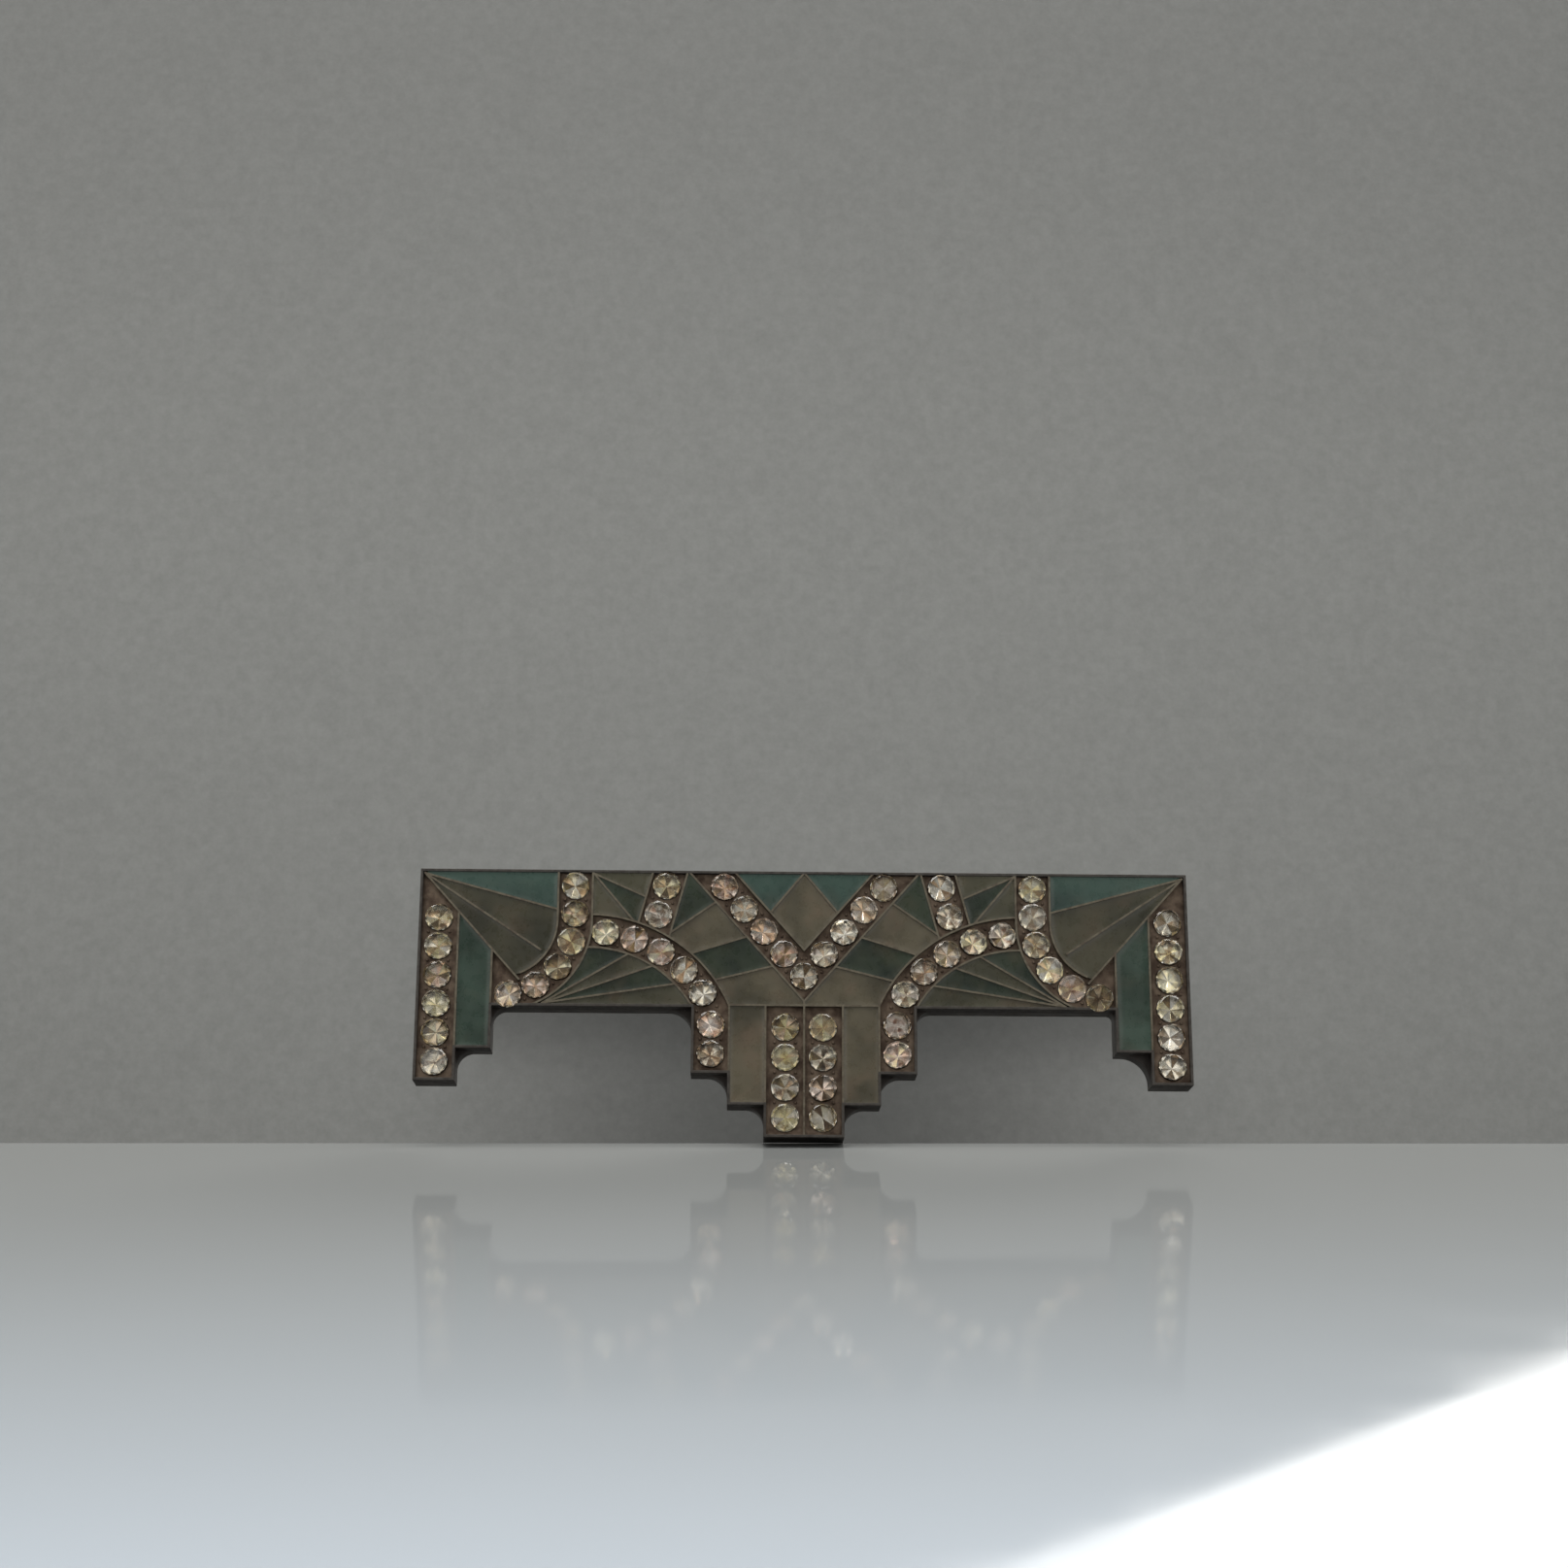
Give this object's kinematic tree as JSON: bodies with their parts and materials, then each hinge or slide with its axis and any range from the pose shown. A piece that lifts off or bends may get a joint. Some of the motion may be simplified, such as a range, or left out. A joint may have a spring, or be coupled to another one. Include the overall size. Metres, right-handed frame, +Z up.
{
  "type": "bar brooch",
  "caption": "Stepped bar brooch with enamel cells and rows of foiled paste stones, a hinged pin and a turning safety catch on its back.",
  "frame": {"origin": "on the back face, halfway along the bar, on the line of the pin", "axes": "+X along the bar to the right as seen from the front, +Y out of the back face towards the wearer, +Z up as worn"},
  "size_m": [0.064, 0.007, 0.0224],
  "materials": {
    "plate_metal": "tarnished silver plate on brass, dark brown",
    "wall_metal": "worn silver plate, brighter on the edges",
    "bed_metal": "dark brown patina in the recesses",
    "enamel_teal": "glossy translucent vitreous enamel",
    "enamel_green": "glossy translucent vitreous enamel",
    "enamel_olive": "glossy translucent vitreous enamel",
    "paste_glass": "faceted clear paste on silver foil",
    "finding_steel": "plated steel, lightly tarnished"
  },
  "bodies": {
    "setting": {"back_plate": "plate_metal", "rim": "wall_metal", "channel_walls_left": "wall_metal", "channel_walls_right": "wall_metal", "fan_wires_left": "wall_metal", "fan_wires_right": "wall_metal", "leg_bed_left": "bed_metal", "leg_bed_right": "bed_metal", "curve_bed_left": "bed_metal", "curve_bed_right": "bed_metal", "arch_bed_left": "bed_metal", "arch_bed_right": "bed_metal", "small_bed_left": "bed_metal", "small_bed_right": "bed_metal", "vee_bed": "bed_metal", "centre_bed": "bed_metal", "leg_stones_left": "paste_glass", "leg_stones_right": "paste_glass", "curve_stones_left": "paste_glass", "curve_stones_right": "paste_glass", "arch_stones_left": "paste_glass", "arch_stones_right": "paste_glass", "small_stones_left": "paste_glass", "small_stones_right": "paste_glass", "vee_stones": "paste_glass", "centre_stones_left": "paste_glass", "centre_stones_right": "paste_glass", "corner_teal_left": "enamel_teal", "corner_teal_right": "enamel_teal", "corner_olive_left": "enamel_olive", "corner_olive_right": "enamel_olive", "leg_green_left": "enamel_green", "leg_green_right": "enamel_green", "upper_olive_left": "enamel_olive", "upper_olive_right": "enamel_olive", "upper_green_left": "enamel_green", "upper_green_right": "enamel_green", "lower_olive_left": "enamel_olive", "lower_olive_right": "enamel_olive", "lower_green_left": "enamel_green", "lower_green_right": "enamel_green", "inner_olive_left": "enamel_olive", "inner_olive_right": "enamel_olive", "inner_green_left": "enamel_green", "inner_green_right": "enamel_green", "top_teal_left": "enamel_teal", "top_teal_right": "enamel_teal", "side_olive_left": "enamel_olive", "side_olive_right": "enamel_olive", "kite_olive": "enamel_olive", "hinge_base": "finding_steel", "hinge_rivet": "finding_steel", "catch_base": "finding_steel"},
    "pin": {"pin_stem": "finding_steel"},
    "barrel": {"safety_barrel": "finding_steel"}
  },
  "joints": [
    {"name": "pin_swing", "type": "hinge", "parent": "setting", "child": "pin", "pos_m": [-0.023, 0.0026, 0], "axis": [0, 0, 1], "range_deg": [0, 100]},
    {"name": "safety_turn", "type": "hinge", "parent": "setting", "child": "barrel", "pos_m": [0.022, 0.0026, 0], "axis": [1, 0, 0], "range_deg": [0, 70]}
  ]
}
